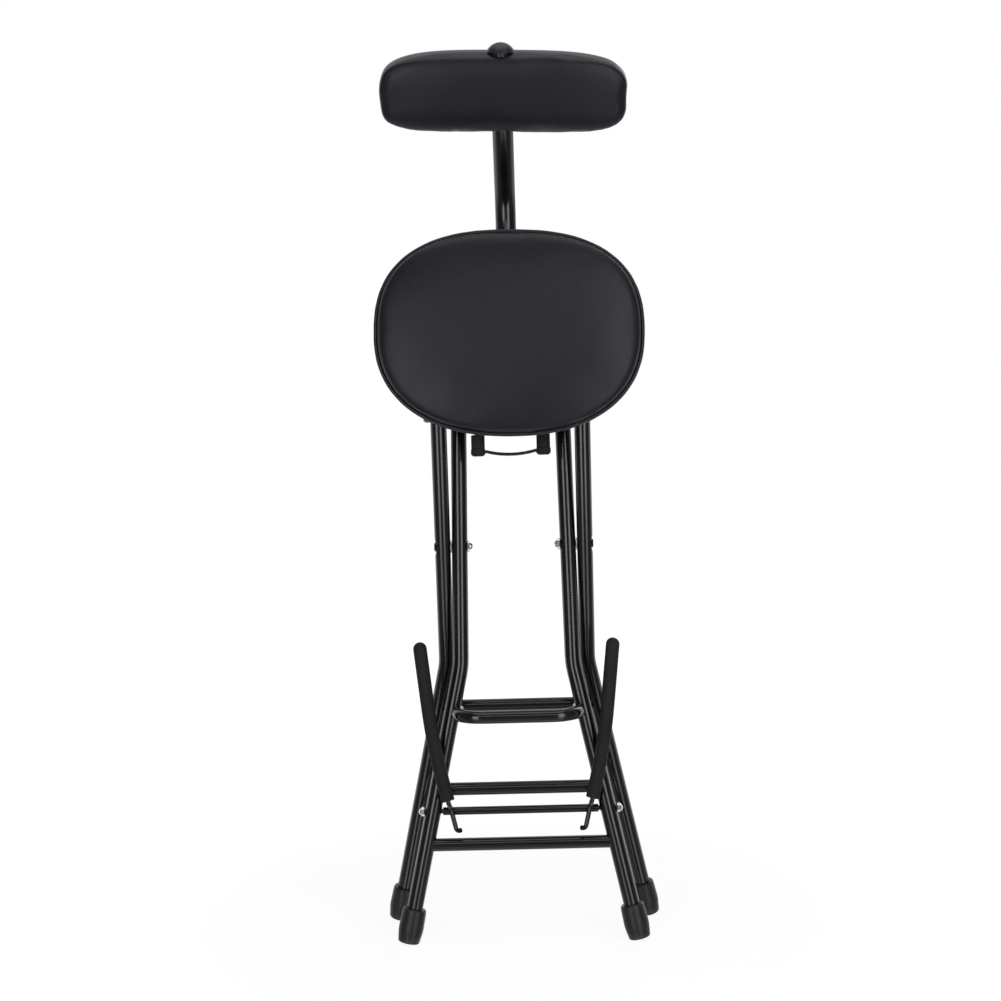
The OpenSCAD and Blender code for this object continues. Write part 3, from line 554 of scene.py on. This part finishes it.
# ---------------------------------------------------------------- back cushion
def make_back_cushion():
    """The back pad, held behind, where the plate is, and along the rim: its front alone swells."""
    half = BACK_T / 2
    crown = half - BACK_RISE
    front = [(0.6, half), (0.9, half + 8), (2.6, half + 15.6), (7.8, crown + 21.4),
             (16, crown + 23.8), (30, crown + 24.8), (BACK_H / 2, crown + 25)]
    rear = [(0.6, half), (1.0, half - 8.6), (3, half - 16.6), (8.5, half - 21.6),
            (17, half - 23.6), (30, half - 24.6), (BACK_H / 2, half - 25)]
    verts, faces = pad_mesh(BACK_W, BACK_H, BACK_POWERS, front, rear, nx=72, ny=26, seed=4.1)
    mesh = upholstered("back_cushion", verts, faces, held_below=half + 6, cap=2 * BACK_RISE,
                       slack=BACK_SLACK, folds=BACK_FOLDS)
    for v in mesh.vertices:
        x, y, h = (c / MM for c in v.co)
        from_post = math.hypot(x, h - half)
        v.co.y += NOTCH_DEPTH * math.exp(-(from_post / NOTCH_R) ** 4) * MM * (y < NOTCH_BELOW)
        ends = max(0, abs(x) / (BACK_W / 2) - END_FROM) / (1 - END_FROM)
        v.co += v.normal * END_FOLD * ends * math.sin(y * 0.16 + 1.3 * math.sin(x * 0.11)) * MM
    pucker(mesh, BACK_W, BACK_H, BACK_POWERS, seam=half + 12, reach=5, depth=0.2, spacing=12)
    place = AT_POST_END @ facing_front(half, -BACK_DROP - BACK_H / 2, BACK_SHIFT, BACK_TURN)
    pad = finished(mesh, "vinyl", "back_cushion", "inner_frame", place)
    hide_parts("back_pad")


# ---------------------------------------------------------------- neck strap
def strap_path(rings):
    """The shallow arc of the elastic cord between the prongs' sleeves, in the model's frame."""
    half = YOKE_W / 2 - YOKE_SLEEVE_D / 2
    hung = half + STRAP_OVER
    arc_r = (hung * hung + STRAP_SAG * STRAP_SAG) / (2 * STRAP_SAG)
    at = IN_SEAT @ move(0, YOKE_SLEEVE_D / 2 + SIDE_GAP - BRACKET_H, -SEAT_FRONT - YOKE_REACH)
    res = []
    for i in range(rings):
        x = half * (2 * i / (rings - 1) - 1)
        z = STRAP_Z - STRAP_SAG + arc_r - math.sqrt(arc_r * arc_r - x * x)
        res.append(at @ Vector((x * MM, 0, z * MM)))
    return res


def strap_tube(path, radius, sides=12):
    """A tube along the path with the low spiral ribs of a covered elastic cord."""
    verts, faces = [], []
    depth = (IN_SEAT.to_3x3() @ Vector((0, 1, 0))).normalized()
    for i, p in enumerate(path):
        along_it = (path[min(i + 1, len(path) - 1)] - path[max(i - 1, 0)]).normalized()
        up = along_it.cross(depth)
        for j in range(sides):
            a = 2 * math.pi * j / sides
            r = radius * (0.985 + 0.015 * math.cos(4 * a + i * 0.7))
            verts.append(p + depth * r * math.cos(a) + up * r * math.sin(a))
    for i in range(len(path) - 1):
        for j in range(sides):
            a, b = i * sides + j, i * sides + (j + 1) % sides
            faces.append((a, b, b + sides, a + sides))
    faces.append(tuple(reversed(range(sides))))
    faces.append(tuple(range(len(verts) - sides, len(verts))))
    return verts, faces


def make_neck_strap():
    path = strap_path(rings=64)
    verts, faces = strap_tube(path, STRAP_D / 2 * MM)
    mesh = build_mesh("neck_cord", verts, faces, unit=1)
    strap = finished(mesh, "strap_elastic", "neck_cord", "seat", Matrix.Identity(4))
    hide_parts("neck_strap")


make_seat_cushion()
make_seat_piping()
make_back_cushion()
make_neck_strap()


# ---------------------------------------------------------------- studio
def mix_by_ray(nt, seen, lighting):
    """seen for camera, glossy and transmission rays, and lighting for diffuse light."""
    ray = node(nt, "ShaderNodeLightPath").outputs
    shows = ray["Is Camera Ray"]
    for kind in ("Is Glossy Ray", "Is Transmission Ray"):
        shows = result(nt, "ShaderNodeMath", {0: shows, 1: ray[kind]}, operation="MAXIMUM")
    return result(nt, "ShaderNodeMixShader", {0: shows, 1: lighting, 2: seen})


def depth_ramp(nt, place, start, end):
    """The room's glossy tone by Y, from -1..1 as 0..1: dim towards the camera, white behind."""
    y = node(nt, "ShaderNodeSeparateXYZ", {0: place}).outputs["Y"]
    share = result(nt, "ShaderNodeMath", {0: y, 1: 0.5, 2: 0.5}, operation="MULTIPLY_ADD")
    return ramp(nt, share, ROOM_GLOSS, 1.0, start, end)


def grey_shader(nt, kind, tone, **inputs):
    return result(nt, kind, {"Color": (tone, tone, tone, 1), **inputs})


def studio_floor():
    """A pale floor that shows as white and keeps a soft shadow."""
    corners = [(x * FLOOR_HALF, y * FLOOR_HALF, 0) for x, y in ((-1, -1), (1, -1), (1, 1), (-1, 1))]
    me = build_mesh("floor", corners, [(0, 1, 2, 3)], unit=1)
    ob = bpy.data.objects.new("floor", me)
    scene.collection.objects.link(ob)
    m = bpy.data.materials.new("floor_white")
    nt = empty_tree(m)
    place = coords(nt)
    far = node(nt, "ShaderNodeVectorMath", {0: place}, operation="LENGTH").outputs["Value"]
    glow = result(nt, "ShaderNodeEmission", {0: ramp(nt, far, 0.9, 1.0, start=0.35, end=1.0)})
    shadowed = grey_shader(nt, "ShaderNodeBsdfDiffuse", 0.14)
    viewed = result(nt, "ShaderNodeAddShader", {0: shadowed, 1: glow})
    back = result(nt, "ShaderNodeEmission", {0: depth_ramp(nt, place, 0.35, 0.9)})
    sheen = grey_shader(nt, "ShaderNodeBsdfGlossy", 0.5, Roughness=0.2)
    mirrored = result(nt, "ShaderNodeAddShader", {0: back, 1: sheen})
    glossy = node(nt, "ShaderNodeLightPath").outputs["Is Glossy Ray"]
    seen = result(nt, "ShaderNodeMixShader", {0: glossy, 1: viewed, 2: mirrored})
    plain = grey_shader(nt, "ShaderNodeBsdfDiffuse", 0.8)
    node(nt, "ShaderNodeOutputMaterial", {0: mix_by_ray(nt, seen, plain)})
    me.materials.append(m)


def studio_world():
    """White behind the stool for every ray that shows it, and a dim room behind the camera."""
    scene.world = bpy.data.worlds.new("studio")
    nt = empty_tree(scene.world)
    direction = node(nt, "ShaderNodeTexCoord").outputs["Generated"]
    tone = node(nt, "ShaderNodeMix", {
        "Factor": node(nt, "ShaderNodeLightPath").outputs["Is Glossy Ray"],
        "A": WHITE, "B": depth_ramp(nt, direction, 0.5, 0.75),
    }, data_type="RGBA", blend_type="MIX").outputs["Result"]
    seen = result(nt, "ShaderNodeBackground", {"Color": tone})
    room = result(nt, "ShaderNodeBackground", {"Color": WHITE, "Strength": ROOM_LIGHT})
    node(nt, "ShaderNodeOutputWorld", {0: mix_by_ray(nt, seen, room)})


def softbox(name, angle, distance, middle, size, radiance, aim=0.5):
    """A softbox at an angle from the camera's side, its middle and its aim above the floor."""
    ld = bpy.data.lights.new(name, "AREA")
    ld.shape = "RECTANGLE"
    ld.size, ld.size_y = size
    ld.energy = radiance * math.pi * size[0] * size[1]
    ob = bpy.data.objects.new(name, ld)
    scene.collection.objects.link(ob)
    a = math.radians(angle)
    ob.location = (math.sin(a) * distance, -math.cos(a) * distance, middle)
    d = Vector((0, 0, aim)) - ob.location
    ob.rotation_mode = "QUATERNION"
    ob.rotation_quaternion = d.to_track_quat("-Z", "Y")
    ob.visible_camera = False


def make_camera():
    cd = bpy.data.cameras.new("camera")
    cam = bpy.data.objects.new("camera", cd)
    scene.collection.objects.link(cam)
    cd.sensor_width, cd.lens = SENSOR_WIDTH, CAMERA_LENS
    cd.clip_start, cd.clip_end = 0.05, 60
    turned = (Matrix.Rotation(CAMERA_YAW, 4, "Z") @ turn_x(math.pi / 2 + CAMERA_PITCH)
              @ Matrix.Rotation(CAMERA_ROLL, 4, "Z"))
    cam.location = CAMERA_PLACE
    cam.rotation_mode = "QUATERNION"
    cam.rotation_quaternion = turned.to_quaternion()
    scene.camera = cam


studio_floor()
studio_world()
softbox("left_strip", -24.5, distance=2.2, middle=0.5, size=(0.8, 1.6), radiance=4.4)
softbox("right_strip", 29.5, distance=2.2, middle=0.95, size=(0.8, 2.2), radiance=4.2, aim=0.95)
softbox("front_top", 1, distance=2.3, middle=1.6, size=(1.2, 0.5), radiance=2.0)
softbox("overhead", 10, distance=0.5, middle=2.9, size=(2.2, 1.8), radiance=1.8)
softbox("rear_fill", 158, distance=2.6, middle=1.5, size=(1.5, 1.5), radiance=2.4)
make_camera()
scene.view_settings.view_transform = "Standard"
